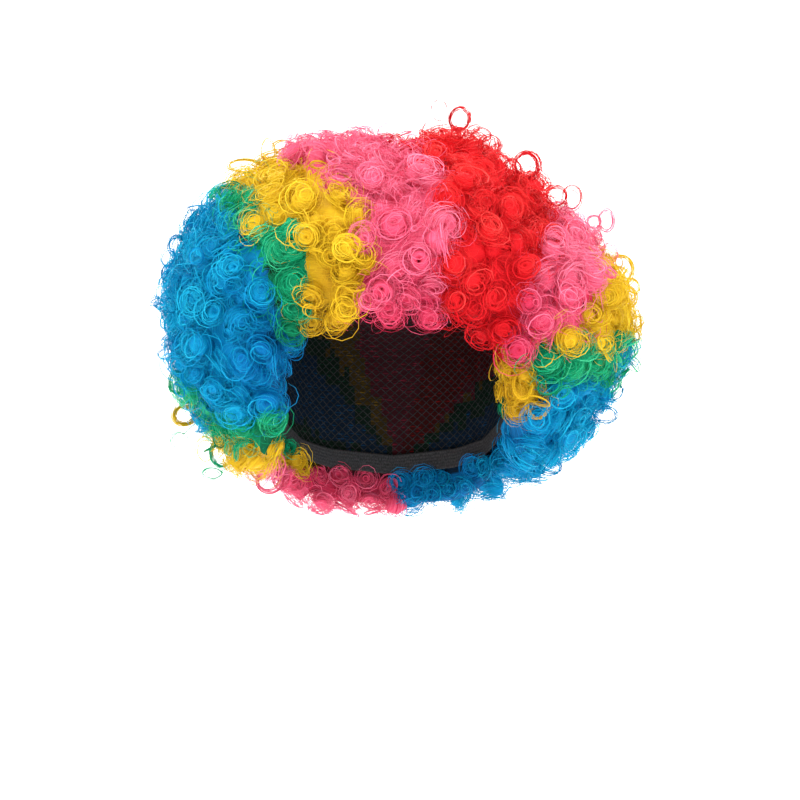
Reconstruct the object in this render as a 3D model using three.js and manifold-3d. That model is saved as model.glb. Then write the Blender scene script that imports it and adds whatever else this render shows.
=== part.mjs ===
// A curly party wig: a stretch net cap with an elastic edge, and bands of ringlets in five colours.
// Units are millimetres. +Z is up, the wearer looks along -Y, and the origin is where the crown of the
// head meets the cap. Left and right are those of someone who faces the wearer, so left is -X.
import * as THREE from "three";
import { ParametricGeometry } from "three/addons/geometries/ParametricGeometry.js";
import { mergeVertices } from "three/addons/utils/BufferGeometryUtils.js";
import Module from "manifold-3d";

const wasm = await Module();
wasm.setup();

// The head that the cap is stretched over
const HEAD_BREADTH = 148;
const HEAD_FRONT = 90; // from the middle of the head to the forehead
const HEAD_BACK = 95;
const CROWN_HEIGHT = 72; // from the widest level to the crown
const NECK_DEPTH = 190; // how far down the narrowing below that level would close

// The cap and the ribbon inside its edge
const CAP_WALL = 1.5;
const CAP_DROP = 140; // the cap's edge at the nape, below the crown
const BAND_WIDTH = 11;
const BAND_WALL = 1.2;
const GAP = 0.3; // left between pieces that touch

// The hair, from the middle of the head at its widest level
const HAIR_REACH = 135; // to the sides, as seen from the front
const HAIR_FRONT = 142;
const HAIR_BACK = 152;
const HAIR_DROP = 154; // the hair's edge at the nape, below the crown
const ROOT_WALL = 12; // the hair's least thickness, along its edges
const SWELL = 30; // how far in from its edge the hair reaches its full thickness
const LEVELLING = 0.8; // how much more levelly it stands out low down, from 0 to 1

// A ringlet: a lock wound like a corkscrew, standing on the root layer
const CURL_RADIUS = 11;
const LOCK_RADIUS = 6;
const CURL_TURNS = 1.2;
const CURL_TIP = 0.35; // how much tighter it is at its tip
const CURL_SINK = 7; // how deep its foot is sunk in the root layer
const CURL_RISE = 11; // how far its tip stands above the root layer
const CURL_COUNT = 104; // spread over a whole ball; those over the face and neck are left out
const CURL_LEAN = 0.45; // the most that it leans from straight out
const CURL_SPREAD = 0.12; // how much one is larger or smaller than another
const CURL_LEAST = 0.62; // how small one may be, in a narrow band
const EDGE_MARGIN = 4; // how far ringlets keep from the hair's edge

// How finely the shapes are faceted
const SLICES = 30;
const CROWN_ROWS = 5;
const FRINGE_ROWS = 2;
const LOCK_SIDES = 4;
const STEPS_PER_TURN = 6;

// The bands meet behind the neck, as seen from the front, and spread like a fan
const FAN_ACROSS = 4;
const FAN_DROP = 135;
const FAN_HUB = 9;
const FAN_INNER = 88; // from there to the hairline
const FAN_OUTER = 182; // and to the outside of the hair
const FAN_FAR = 420;
const TEMPLE_FRONT = -50; // the temple's own lock lies in front of this
const TEMPLE_TOP = 46; // degrees round the fan, from the right
const TEMPLE_FOOT = 27;
const TEMPLE_WIDTH = 100; // from the middle of the fan to its outer side

// How far the edges hang below the crown, round from the face to the nape, as shares of CAP_DROP and
// HAIR_DROP
const EDGES = [
  { azimuth: 0, cap: 0.34, left: 0.35, right: 0.345 },
  { azimuth: 27, cap: 0.355, left: 0.365, right: 0.36 },
  { azimuth: 40, cap: 0.39, left: 0.405, right: 0.4 },
  { azimuth: 55, cap: 0.58, left: 0.9, right: 0.86 },
  { azimuth: 66, cap: 0.68, left: 0.94, right: 0.88 },
  { azimuth: 95, cap: 0.64, left: 0.95, right: 0.88 },
  { azimuth: 120, cap: 0.8, left: 0.97, right: 0.93 },
  { azimuth: 145, cap: 0.95, left: 0.99, right: 0.98 },
  { azimuth: 180, cap: 1, left: 1, right: 1 },
];

// The hair's outline from the front, round from the right, as shares of HAIR_REACH
const OUTLINE = [
  { angle: -90, share: 1 },
  { angle: -60, share: 0.9 },
  { angle: -40, share: 0.86 },
  { angle: -25, share: 0.88 },
  { angle: -5, share: 0.97 },
  { angle: 15, share: 1.05 },
  { angle: 35, share: 0.97 },
  { angle: 55, share: 0.95 },
  { angle: 75, share: 0.96 },
  { angle: 90, share: 0.92 },
  { angle: 110, share: 1 },
  { angle: 135, share: 1.01 },
  { angle: 160, share: 1.01 },
  { angle: 180, share: 0.94 },
  { angle: 205, share: 0.91 },
  { angle: 225, share: 0.89 },
  { angle: 245, share: 0.92 },
  { angle: 270, share: 1 },
];

// The bands from the lower left over the crown to the lower right. Each starts where the one before it
// ends. End angles are about the middle of the fan, at the hairline and at the outside.
const FAN_START = 270;
const BANDS = [
  { name: "hair_pink_nape", colour: "pink", inner: 180, outer: 182 },
  { name: "hair_yellow_low", colour: "yellow", inner: 170, outer: 172 },
  { name: "hair_green_low", colour: "green", inner: 156, outer: 159 },
  { name: "hair_blue_left", colour: "blue", inner: 127, outer: 126 },
  { name: "hair_green_left", colour: "green", inner: 118, outer: 119.5 },
  { name: "hair_yellow_left", colour: "yellow", inner: 102, outer: 108.5 },
  { name: "hair_pink_left", colour: "pink", inner: 75, outer: 89 },
  { name: "hair_red", colour: "red", inner: 51, outer: 60 },
  { name: "hair_pink_right", colour: "pink", inner: 43, outer: 46 },
  { name: "hair_yellow_right", colour: "yellow", inner: 36, outer: 30 },
  { name: "hair_green_right", colour: "green", inner: 20, outer: 21 },
  { name: "hair_blue_right", colour: "blue", inner: -90, outer: -90 },
];
const TEMPLE = { name: "hair_yellow_temple", colour: "yellow" };

// Where the temple's ringlets stand, seen from the middle of the head
const TEMPLE_CURLS = [
  { across: 75, front: 63, up: 1, size: 0.7 },
  { across: 74, front: 60, up: -22, size: 0.7 },
];

const MATERIALS = {
  blue: { color: 0x0a86c8, roughness: 0.5, metalness: 0 },
  green: { color: 0x0aa564, roughness: 0.5, metalness: 0 },
  yellow: { color: 0xe5ad12, roughness: 0.5, metalness: 0 },
  pink: { color: 0xee6486, roughness: 0.5, metalness: 0 },
  red: { color: 0xdf1c22, roughness: 0.5, metalness: 0 },
  cap: { color: 0x1c1c1f, roughness: 0.9, metalness: 0 },
  band: { color: 0x26262a, roughness: 0.8, metalness: 0 },
};

const CENTRE = new THREE.Vector3(0, 0, -CROWN_HEIGHT);
const { degToRad, radToDeg, lerp, clamp, smoothstep, seededRandom } = THREE.MathUtils;

// The value of a table's column at a place along its first column.
function read(table, key, column, at) {
  const next = table.findIndex((row) => row[key] >= at);
  if (next <= 0) return table[next < 0 ? table.length - 1 : 0][column];
  const [low, high] = [table[next - 1], table[next]];
  return lerp(low[column], high[column], (at - low[key]) / (high[key] - low[key]));
}

// The head's size in a direction round it: its half width there, and the quarter arc over the crown.
function headSection(azimuth) {
  const depth = Math.cos(azimuth) > 0 ? HEAD_FRONT : HEAD_BACK;
  const across = Math.sin(azimuth) / (HEAD_BREADTH / 2);
  const radius = 1 / Math.hypot(across, Math.cos(azimuth) / depth);
  const crownArc = (Math.PI / 2) * Math.sqrt((radius ** 2 + CROWN_HEIGHT ** 2) / 2);
  return { depth, radius, crownArc };
}

// A point on the head at an arc's length from the crown, moved out along the surface's normal.
function wallPoint(azimuth, arc, offset) {
  const { depth, radius, crownArc } = headSection(azimuth);
  const slope = (Math.PI / 2) * (1 - Math.min(arc / crownArc, 1));
  const below = Math.max(arc - crownArc, 0);
  const height = below > 0 ? -below : CROWN_HEIGHT * Math.sin(slope);
  const half = below > 0 ? NECK_DEPTH : CROWN_HEIGHT;
  const out = radius * Math.sqrt(Math.max(1 - (height / half) ** 2, 0));
  const point = new THREE.Vector3(out * Math.sin(azimuth), -out * Math.cos(azimuth), height);
  const normal = new THREE.Vector3(
    point.x / (HEAD_BREADTH / 2) ** 2,
    point.y / depth ** 2,
    point.z / half ** 2,
  ).normalize();
  return point.addScaledVector(normal, offset).add(CENTRE);
}

// How far along the head an edge lies from the crown, from its drop below the crown.
function arcAtDrop(azimuth, drop) {
  const { crownArc } = headSection(azimuth);
  const height = CROWN_HEIGHT - drop;
  if (height < 0) return crownArc - height;
  return crownArc * (1 - Math.asin(height / CROWN_HEIGHT) / (Math.PI / 2));
}

function capEdge(azimuth) {
  const drop = CAP_DROP * read(EDGES, "azimuth", "cap", Math.abs(radToDeg(azimuth)));
  return arcAtDrop(azimuth, drop);
}

function hairEdge(azimuth) {
  const side = azimuth < 0 ? "left" : "right";
  const drop = HAIR_DROP * read(EDGES, "azimuth", side, Math.abs(radToDeg(azimuth)));
  return Math.max(arcAtDrop(azimuth, drop), capEdge(azimuth) + 2 * GAP);
}

// Rows run from the crown to the ribbon's upper edge, to the cap's edge and on to the hair's edge, so
// that neighbouring walls have their facets in line.
const HEM_ROW = CROWN_ROWS;
const CAP_ROW = CROWN_ROWS + 1;
const HAIR_ROW = CAP_ROW + FRINGE_ROWS;

function rowArc(azimuth, row) {
  const edge = capEdge(azimuth);
  if (row <= HEM_ROW) return ((edge - BAND_WIDTH) * row) / HEM_ROW;
  return lerp(edge, hairEdge(azimuth), (row - CAP_ROW) / FRINGE_ROWS);
}

// How far the hair reaches from the middle of the head in a direction.
function hairReach(direction) {
  const round = radToDeg(Math.atan2(direction.z, direction.x));
  const side = HAIR_REACH * read(OUTLINE, "angle", "share", round < -90 ? round + 360 : round);
  const depth = direction.y < 0 ? HAIR_FRONT : HAIR_BACK;
  return 1 / Math.hypot(Math.hypot(direction.x, direction.z) / side, direction.y / depth);
}

const EDGE_SAMPLES = 90;
const EDGE_POINTS = Array.from({ length: EDGE_SAMPLES }, (_, i) => {
  const azimuth = Math.PI * ((2 * i) / EDGE_SAMPLES - 1);
  return wallPoint(azimuth, hairEdge(azimuth), 0);
});

// The root layer over a point of the head: how far in from the hair's edge it is, the way the hair
// stands there, and its outer point. Below the head's widest level the hair stands out more levelly.
function rootOver(azimuth, arc) {
  const foot = wallPoint(azimuth, arc, CAP_WALL + GAP);
  const inset = Math.min(...EDGE_POINTS.map((p) => p.distanceTo(foot)));
  const outward = foot.clone().sub(CENTRE);
  if (outward.z < 0) outward.z *= 1 - LEVELLING;
  outward.normalize();
  let [near, far] = [0, HAIR_BACK];
  for (let i = 0; i < 14; i += 1) {
    const depth = (near + far) / 2;
    const ray = foot.clone().addScaledVector(outward, depth).sub(CENTRE);
    const reach = ray.length();
    if (reach < hairReach(ray.normalize())) near = depth;
    else far = depth;
  }
  const rise = 1 - Math.min(inset / SWELL, 1);
  const wall = Math.max((near - CURL_RISE - LOCK_RADIUS) * Math.sqrt(1 - rise ** 2), ROOT_WALL);
  return { inset, outward, point: foot.addScaledVector(outward, wall) };
}

function solidOf(geometry) {
  const bare = geometry.index ? geometry.toNonIndexed() : geometry.clone();
  bare.deleteAttribute("normal");
  bare.deleteAttribute("uv");
  const merged = mergeVertices(bare, 1e-4);
  const corners = merged.index.array;
  const kept = [];
  for (let i = 0; i < corners.length; i += 3) {
    const [a, b, c] = corners.subarray(i, i + 3);
    if (a !== b && b !== c && c !== a) kept.push(a, b, c);
  }
  const vertProperties = merged.attributes.position.array;
  return new wasm.Manifold(
    new wasm.Mesh({ numProp: 3, vertProperties, triVerts: new Uint32Array(kept) }),
  );
}

// The largest body of a solid, without the slivers that a cut leaves loose.
function mainBody(solid) {
  return solid.decompose().reduce((best, body) => (body.volume() > best.volume() ? body : best));
}

function meshOf(name, material, solid) {
  const { vertProperties, triVerts } = solid.getMesh();
  const geometry = new THREE.BufferGeometry()
    .setAttribute("position", new THREE.Float32BufferAttribute(vertProperties, 3))
    .setIndex(new THREE.Uint32BufferAttribute(triVerts, 1));
  geometry.computeVertexNormals();
  const mesh = new THREE.Mesh(geometry, new THREE.MeshStandardMaterial(MATERIALS[material]));
  mesh.name = name;
  return mesh;
}

// A closed wall swept all round the head. A profile is a list of functions from azimuth to a point. The
// diagonals of its facets lean one way or the other, and the same way where two walls face each other.
function sweptRound(profile, leaning = false) {
  const rows = profile.length - 1;
  const place = (round, along, target) =>
    target.copy(profile[Math.round(along * rows)](Math.PI * (1 - 2 * (round % 1))));
  if (!leaning) return solidOf(new ParametricGeometry(place, SLICES, rows));
  const across = (along, round, target) => place(1 - round, along, target);
  return solidOf(new ParametricGeometry(across, rows, SLICES));
}

// The profile of a dome with its two faces given by row, from the crown outside to the crown inside.
function domeProfile(rows, outside, inside) {
  const downwards = Array.from({ length: rows + 1 }, (_, row) => row);
  return [
    ...downwards.map((row) => (azimuth) => outside(azimuth, rowArc(azimuth, row))),
    ...downwards.reverse().map((row) => (azimuth) => inside(azimuth, rowArc(azimuth, row))),
  ];
}

function cap() {
  const profile = domeProfile(
    CAP_ROW,
    (azimuth, arc) => wallPoint(azimuth, arc, CAP_WALL),
    (azimuth, arc) => wallPoint(azimuth, arc, 0),
  );
  return sweptRound(profile);
}

function edgeBand() {
  const corner = (row, offset) => (azimuth) => wallPoint(azimuth, rowArc(azimuth, row), offset);
  const inside = -GAP - BAND_WALL;
  const profile = [
    corner(HEM_ROW, -GAP),
    corner(CAP_ROW, -GAP),
    corner(CAP_ROW, inside),
    corner(HEM_ROW, inside),
    corner(HEM_ROW, -GAP),
  ];
  return sweptRound(profile, true);
}

function rootLayer() {
  const profile = domeProfile(
    HAIR_ROW,
    (azimuth, arc) => rootOver(azimuth, arc).point,
    (azimuth, arc) => wallPoint(azimuth, arc, CAP_WALL + GAP),
  );
  return sweptRound(profile, true);
}

// The room inside the root layer, for the head and the cap. Ringlets are kept out of it.
function headRoom() {
  const side = Array.from(
    { length: HAIR_ROW + 1 },
    (_, row) => (azimuth) => wallPoint(azimuth, rowArc(azimuth, row), CAP_WALL + GAP),
  );
  return sweptRound([...side, () => new THREE.Vector3(0, 0, -HAIR_DROP)]);
}

// The fan angle of a band's end at a distance from the middle of the fan.
function endAngle(band, distance) {
  return lerp(band.inner, band.outer, smoothstep(distance, FAN_INNER, FAN_OUTER));
}

function fanPoint(angle, distance, aside = 0) {
  const turn = degToRad(angle);
  return new THREE.Vector2(
    FAN_ACROSS + distance * Math.cos(turn) - aside * Math.sin(turn),
    -FAN_DROP + distance * Math.sin(turn) + aside * Math.cos(turn),
  );
}

// A prism through the whole wig, front to back, from an outline seen from the front.
function throughPrism(outline, front, back) {
  const shape = new THREE.Shape(outline);
  const geometry = new THREE.ExtrudeGeometry(shape, { depth: back - front, bevelEnabled: false });
  geometry.rotateX(Math.PI / 2).translate(0, back, 0);
  return solidOf(geometry);
}

const FAN_STEPS = [FAN_HUB / 2, FAN_INNER, (FAN_INNER + FAN_OUTER) / 2, FAN_OUTER, FAN_FAR];

// The hub of the fan, behind the neck.
function hub(radius) {
  return throughPrism(
    Array.from({ length: 12 }, (_, i) => fanPoint(30 * i, radius)),
    0,
    FAN_FAR,
  );
}

// The space of one band: a sector of the fan, half a gap in from both of its ends. The first band, at
// the nape, has the hub as well.
function sector(start, end) {
  const line = (band, aside) => FAN_STEPS.map((s) => fanPoint(endAngle(band, s), s, aside));
  const far = fanPoint((start.outer + end.outer) / 2, FAN_FAR);
  const outline = [...line(end, GAP / 2).reverse(), ...line(start, -GAP / 2), far];
  const space = throughPrism(outline, -FAN_FAR, FAN_FAR);
  return end === BANDS[0] ? space.add(hub(FAN_HUB)) : space.subtract(hub(FAN_HUB + GAP));
}

class RingletCurve extends THREE.Curve {
  constructor(size, hand) {
    super();
    this.size = size;
    this.hand = hand;
  }
  getPoint(t, target = new THREE.Vector3()) {
    const turn = this.hand * 2 * Math.PI * CURL_TURNS * t;
    const radius = this.size * CURL_RADIUS * (1 - CURL_TIP * t ** 2);
    const height = this.size * (CURL_SINK + CURL_RISE) * Math.sqrt(t) - CURL_SINK;
    return target.set(radius * Math.cos(turn), radius * Math.sin(turn), height);
  }
}

function ringlet(size, hand) {
  const rim = Array.from({ length: LOCK_SIDES }, (_, i) => {
    const turn = (2 * Math.PI * i) / LOCK_SIDES;
    return new THREE.Vector2(Math.cos(turn), Math.sin(turn)).multiplyScalar(size * LOCK_RADIUS);
  });
  return new THREE.ExtrudeGeometry(new THREE.Shape(rim), {
    steps: Math.round(CURL_TURNS * STEPS_PER_TURN),
    extrudePath: new RingletCurve(size, hand),
    bevelEnabled: false,
  });
}

// Where a direction from the middle of the head leaves the hair, or null over the face and neck.
function hairOver(direction) {
  const azimuth = Math.atan2(direction.x, -direction.y);
  const edge = hairEdge(azimuth);
  let [near, far] = [0, edge];
  for (let i = 0; i < 16; i += 1) {
    const arc = (near + far) / 2;
    const foot = wallPoint(azimuth, arc, CAP_WALL + GAP).sub(CENTRE).normalize();
    if (foot.z > direction.z) near = arc;
    else far = arc;
  }
  const root = rootOver(azimuth, near);
  return near > edge - 1 || root.inset < EDGE_MARGIN ? null : root;
}

// Which band a point is in, with its place round the fan and the band's ends there.
function bandAt(point) {
  const [across, up] = [point.x - FAN_ACROSS, point.z + FAN_DROP];
  const distance = Math.hypot(across, up);
  const round = radToDeg(Math.atan2(up, across));
  const angle = round < -90 ? round + 360 : round;
  const index = BANDS.findIndex((band) => angle >= endAngle(band, distance));
  const start = index > 0 ? endAngle(BANDS[index - 1], distance) : FAN_START;
  return { index, distance, angle, start, end: endAngle(BANDS[index], distance) };
}

// A ringlet's place and size: small enough for its band, and drawn in from the band's ends so that
// little of it is cut off.
function placed(spread, grow) {
  const root = hairOver(spread);
  if (!root) return null;
  const { index, distance, angle, start, end } = bandAt(root.point);
  const half = degToRad(start - end) / 2;
  const reach = CURL_RADIUS + LOCK_RADIUS;
  const size = clamp((half * distance) / reach, CURL_LEAST, 1 + CURL_SPREAD * (2 * grow - 1));
  const margin = Math.min(radToDeg((size * reach) / distance), radToDeg(half));
  const { x, y } = fanPoint(clamp(angle, end + margin, start - margin), distance);
  const moved = hairOver(new THREE.Vector3(x, root.point.y, y).sub(CENTRE).normalize());
  return moved && { ...moved, index, size };
}

const UP = new THREE.Vector3(0, 0, 1);
const GOLDEN_TURN = Math.PI * (3 - Math.sqrt(5));

// A ringlet standing on the root layer at its place, leaning a little.
function standing(place, seed) {
  const [lean, twist, side] = [1, 2, 3].map((n) => seededRandom(seed * 17 + n * 101));
  const turn = 2 * Math.PI * twist;
  const aside = new THREE.Vector3(Math.cos(turn), Math.sin(turn), 0);
  const own = new THREE.Quaternion().setFromAxisAngle(aside, CURL_LEAN * lean);
  const tilt = new THREE.Quaternion().setFromUnitVectors(UP, place.outward);
  const geometry = ringlet(place.size, side < 0.5 ? -1 : 1);
  geometry.applyQuaternion(own).applyQuaternion(tilt);
  geometry.translate(place.point.x, place.point.y, place.point.z);
  return { index: place.index, solid: solidOf(geometry) };
}

// Ringlets spread evenly over the hair, each with the number of its band.
function ringlets() {
  const made = [];
  for (let i = 0; i < CURL_COUNT; i += 1) {
    const height = 1 - (2 * i + 1) / CURL_COUNT;
    const [flat, round] = [Math.sqrt(1 - height ** 2), GOLDEN_TURN * i];
    const spread = new THREE.Vector3(flat * Math.cos(round), flat * Math.sin(round), height);
    const place = placed(spread, seededRandom(i * 17));
    if (place) made.push(standing(place, i));
  }
  return made;
}

// The temple's own ringlets
function templeRinglets() {
  return TEMPLE_CURLS.map(({ across, front, up, size }, i) => {
    const root = hairOver(new THREE.Vector3(across, -front, up).normalize());
    return standing({ ...root, size }, CURL_COUNT + i);
  });
}

// The temple's own lock: a block of hair in front, beside the face.
function templeSpace(aside) {
  const inner = fanPoint(TEMPLE_FOOT, FAN_INNER / 2, aside);
  const outline = [
    inner,
    fanPoint(TEMPLE_FOOT, TEMPLE_WIDTH - aside, aside),
    fanPoint((TEMPLE_FOOT + TEMPLE_TOP) / 2, TEMPLE_WIDTH - aside),
    fanPoint(TEMPLE_TOP, TEMPLE_WIDTH - aside, -aside),
    fanPoint(TEMPLE_TOP, FAN_INNER / 2, -aside),
  ];
  return throughPrism(outline, -FAN_FAR, TEMPLE_FRONT - aside);
}

const wig = new THREE.Group();
wig.add(meshOf("cap", "cap", cap()));
wig.add(meshOf("edge_band", "band", edgeBand()));

const roots = rootLayer();
const room = headRoom();
const curls = ringlets();
const rooted = (own) => own.reduce((sum, { solid }) => sum.add(solid), roots).subtract(room);
const temple = rooted(templeRinglets()).intersect(templeSpace(GAP));
const aroundTemple = templeSpace(0);
BANDS.forEach((band, index) => {
  const start = index > 0 ? BANDS[index - 1] : { inner: FAN_START, outer: FAN_START };
  const own = curls.filter((curl) => curl.index === index);
  const solid = rooted(own).intersect(sector(start, band));
  wig.add(meshOf(band.name, band.colour, mainBody(solid.subtract(aroundTemple))));
});
wig.add(meshOf(TEMPLE.name, TEMPLE.colour, mainBody(temple)));

export default wig;
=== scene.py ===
import math

import bpy
import numpy as np
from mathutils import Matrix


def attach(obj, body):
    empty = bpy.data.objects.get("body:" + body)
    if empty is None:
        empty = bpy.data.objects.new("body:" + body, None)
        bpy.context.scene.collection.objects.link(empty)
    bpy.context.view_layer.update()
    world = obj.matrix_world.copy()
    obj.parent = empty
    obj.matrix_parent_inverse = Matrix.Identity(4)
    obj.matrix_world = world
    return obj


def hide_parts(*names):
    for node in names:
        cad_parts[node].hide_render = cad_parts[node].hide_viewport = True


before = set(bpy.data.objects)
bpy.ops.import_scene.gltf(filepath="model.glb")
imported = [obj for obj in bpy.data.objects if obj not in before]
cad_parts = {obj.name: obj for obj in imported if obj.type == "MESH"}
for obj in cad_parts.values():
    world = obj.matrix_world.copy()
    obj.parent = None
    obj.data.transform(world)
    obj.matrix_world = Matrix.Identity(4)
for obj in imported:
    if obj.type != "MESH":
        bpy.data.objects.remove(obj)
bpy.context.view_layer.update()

MM = 0.001
TURN = 2 * math.pi
rng = np.random.default_rng(11)

# The form that the cap fits over, the cap and the hair, as in the part
HEAD_BREADTH = 148
HEAD_FRONT_DEPTH = 90
HEAD_BACK_DEPTH = 95
CROWN_HEIGHT = 72
NECK_DEPTH = 190
CAP_WALL = 1.5
CAP_DROP = 140
BAND_WIDTH = 11
BAND_WALL = 1.2
GAP = 0.3
HAIR_REACH = 135
HAIR_FRONT_REACH = 142
HAIR_BACK_REACH = 152
HAIR_DROP = 154
ROOT_WALL = 8
SWELL = 30
LEVELLING = 0.8
CENTRE = np.array([0, 0, -CROWN_HEIGHT])

# The camera, level and in front, at the photo's angle
CAMERA = np.array([4.4, -1600.0, -96.8])
LENS = 131

# The underlayer of hair: how deep it lies below the outline, its columns, its rows outside, round the
# rim, inside and behind the net, how far its rim bulges, and the fine bumps on it. Then how many places
# are drawn on it, the Y of a normal below which a place faces the camera, and the lobes of the outline.
UNDER_DEPTH = 10.5
UNDER_COLUMNS = 190
UNDER_ROWS = 56
RIM_ROWS = 4
INSIDE_ROWS = 8
NET_ROWS = 36
RIM_BULGE = 2.5
BUMP_HEIGHT = 1.2
BUMP_SIZES = np.array([3.1, 2.7, 3.3])
CANDIDATES = 30000
FACING_FRONT = -0.12
LOBE_HEIGHT = 6
LOBE_WAVES = np.array([[7.3, 5.1, 2.2], [-3.9, 6.4, 5.7], [4.6, -5.2, 7.1]])

# How far apart the ringlets stand: outside, at the rim, inside, in front, beside those in front, and
# along the fringe. Up to an angle from the front, only the fringe's own stand at the rim.
CURL_SPACING = 12.2
RIM_SPACING = 10.5
INSIDE_SPACING = 8.5
FRONT_SPACING = 6.5
BESIDE_FRONT = 9.5
FRINGE_SPACING = 9.5
FRINGE_ANGLE = 42

# The ringlets' radii and heights, how far their axes lean, the share that lie over further, and how far
# above the underlayer their band is read
CURL_RADII = (6.2, 9.4)
CURL_HEIGHTS = (7.0, 12.0)
FRINGE_RADII = (5.6, 7.6)
FRONT_HEIGHTS = (9.0, 12.5)
LEANS = (0.1, 1.5)
LYING_SHARE = 0.3
LYING_LEAN = 1.3
BAND_LIFT = 6

# A ringlet's core, and the strands wound round it: their number, the share on its end, and the share
# that stand off it, with how far
CORE_SIDES = 10
CORE_INSET = 2.1
STRANDS = 30
STRAND_STEPS = 14
STRAND_WIDTH = 0.41
END_SHARE = 0.58
LOOSE_SHARE = 0.22
LOOSE_REACH = (0.8, 4.5)

# Painted shade and light: how light the hair is drawn, from -1 in the deepest painted shade to 1: at
# the outline, the depth that takes 1 off, the least and most that depth takes off, what the cores lose
# as painted shade under their strands, the painted light and shade that the underlayer's bumps add and
# its least, and the underlayer behind the net and at the rim, drawn dark as painted shade. The last is
# how much of a gap keeps ringlets away.
SHADE_OUTSIDE = 0.56
SHADE_DEPTH = 70
SHADE_LOSS = (-0.08, 0.5)
CORE_SHADE = -0.14
BUMP_SHADE = 0.08
UNDER_SHADE = 0.1
NET_SHADE = -0.9
RIM_SHADE = -0.45
GAP_LEAST = 0.15

# A core from its foot over its shoulder to the middle of its end: the way along it, then its radius and
# height as shares where it is closed, and the same where it is hollow
CORE = np.array([
    (0.0, 0.55, -0.1, 0.55, -0.1),
    (0.35, 1.0, 0.35, 1.0, 0.35),
    (0.55, 0.98, 0.7, 0.98, 0.75),
    (0.7, 0.84, 0.92, 0.86, 0.97),
    (0.86, 0.5, 1.0, 0.64, 0.88),
    (1.0, 0.04, 1.0, 0.44, 0.3),
])

# Loose strands between the ringlets, fine ones that stand off the hair, and springs: locks with an
# open ring. A ring's strands use a share of their length to leave the hair, there are several for each
# that the photo shows, and a ring past the outline stands a little in front of its root.
FILLERS = 8400
FILLER_STEPS = 9
FILLER_RISE = (0.5, 8.5)
FILLER_RADII = (3.0, 8.0)
FLYAWAYS = 2600
FLYAWAY_STEPS = 10
FLYAWAY_RISE = (-4, 4)
FLYAWAY_RADII = (2.5, 6.5)
FLYAWAY_WIDTHS = (0.12, 0.24)
SPRINGS = 190
SPRING_STRANDS = 5
SPRING_RISE = (8.5, 14)
SPRING_RADII = (3.2, 6.2)
RING_STEPS = 28
RING_WIDTHS = (0.3, 0.55)
RING_OUT = 0.3
RING_DENSITY = 2
RING_FORWARD = 5

# The net's zones from the crown down: shares of the way to the edge, and threads round it. Then the
# size of its cells, the longest way down it, and its thread. The elastic has ribs along it.
NET_ZONES = [(0.03, 0.12, 16), (0.12, 0.34, 48), (0.34, 1.0, 112)]
NET_CELL = 2.3
NET_REACH = 200
NET_THREAD = 0.7
ELASTIC_COLUMNS = 300
ELASTIC_RIBS = 6
RIB_HEIGHT = 0.16

# How far the edges hang below the crown, round from the front to the back: azimuth, then shares of the
# cap's drop and of the hair's drop on the left and right
EDGES = np.array([
    (0, 0.34, 0.322, 0.318),
    (27, 0.355, 0.345, 0.335),
    (40, 0.39, 0.405, 0.395),
    (55, 0.58, 0.8, 0.79),
    (66, 0.68, 0.82, 0.82),
    (95, 0.64, 0.83, 0.82),
    (120, 0.8, 0.86, 0.84),
    (140, 0.93, 0.92, 0.91),
    (155, 0.97, 0.98, 0.98),
    (180, 1, 1, 1),
])

# The hair's outline from the front: the angle round from the right, and the share of the hair's reach
OUTLINE = np.array([
    (-90, 1), (-60, 0.86), (-40, 0.78), (-30, 0.85), (-10, 0.9), (0, 0.98), (15, 1.03), (32, 0.95),
    (43, 0.88), (49, 0.93), (57, 0.87), (70, 0.96), (81, 0.9), (90, 0.86), (97, 0.9), (105, 0.89),
    (112, 0.96), (121, 0.905), (132, 0.98), (142, 0.97), (160, 0.99), (180, 0.9), (190, 0.88),
    (200, 0.83), (212, 0.78), (222, 0.77), (235, 0.82), (250, 0.9), (270, 1),
])

# The bands meet low at the back and spread like a fan. For each: its name, its colour, and the angle
# where it ends at some distances from the middle of the fan.
FAN_ACROSS = 4
FAN_DROP = 135
FAN_RADII = (88, 105, 120, 140, 160, 182)
BANDS = [
    ("pink_nape", "pink", (181, 180, 176, 175, 175, 175)),
    ("yellow_low", "yellow", (170, 169, 165, 164, 164, 164)),
    ("green_low", "green", (158, 164, 161, 160, 160, 160)),
    ("blue_left", "blue", (130, 127, 123.5, 122.5, 122.5, 125)),
    ("green_left", "green", (121, 118.5, 112.5, 114, 118.5, 121.5)),
    ("yellow_left", "yellow", (108, 99, 97, 98, 105, 110)),
    ("pink_left", "pink", (76, 79, 78, 77.5, 84, 89)),
    ("red", "red", (49, 52, 55, 56, 59, 61)),
    ("pink_right", "pink", (46, 41, 38, 43, 46, 47)),
    ("yellow_right", "yellow", (45, 40, 32, 31, 30, 30)),
    ("green_right", "green", (33, 27, 24, 27, 28, 28)),
    ("blue_right", "blue", (-90, -90, -90, -90, -90, -90)),
    ("yellow_temple", "yellow", (0, 0, 0, 0, 0, 0)),
]
TEMPLE = len(BANDS) - 1
TEMPLE_FRONT = -50
TEMPLE_TOP = 50
TEMPLE_FOOT = 27
TEMPLE_WIDTH = 87

# The lower limit of the fringe, as seen by the camera: across and up
FRINGE = np.array([
    (-62, -72), (-54, -64), (-46, -54), (-41, -63), (-28, -64), (-24, -47), (-15, -44), (0, -50),
    (8, -58), (23, -60), (28, -47), (34, -44), (41, -52), (48, -62), (56, -76), (62, -86),
])

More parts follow.
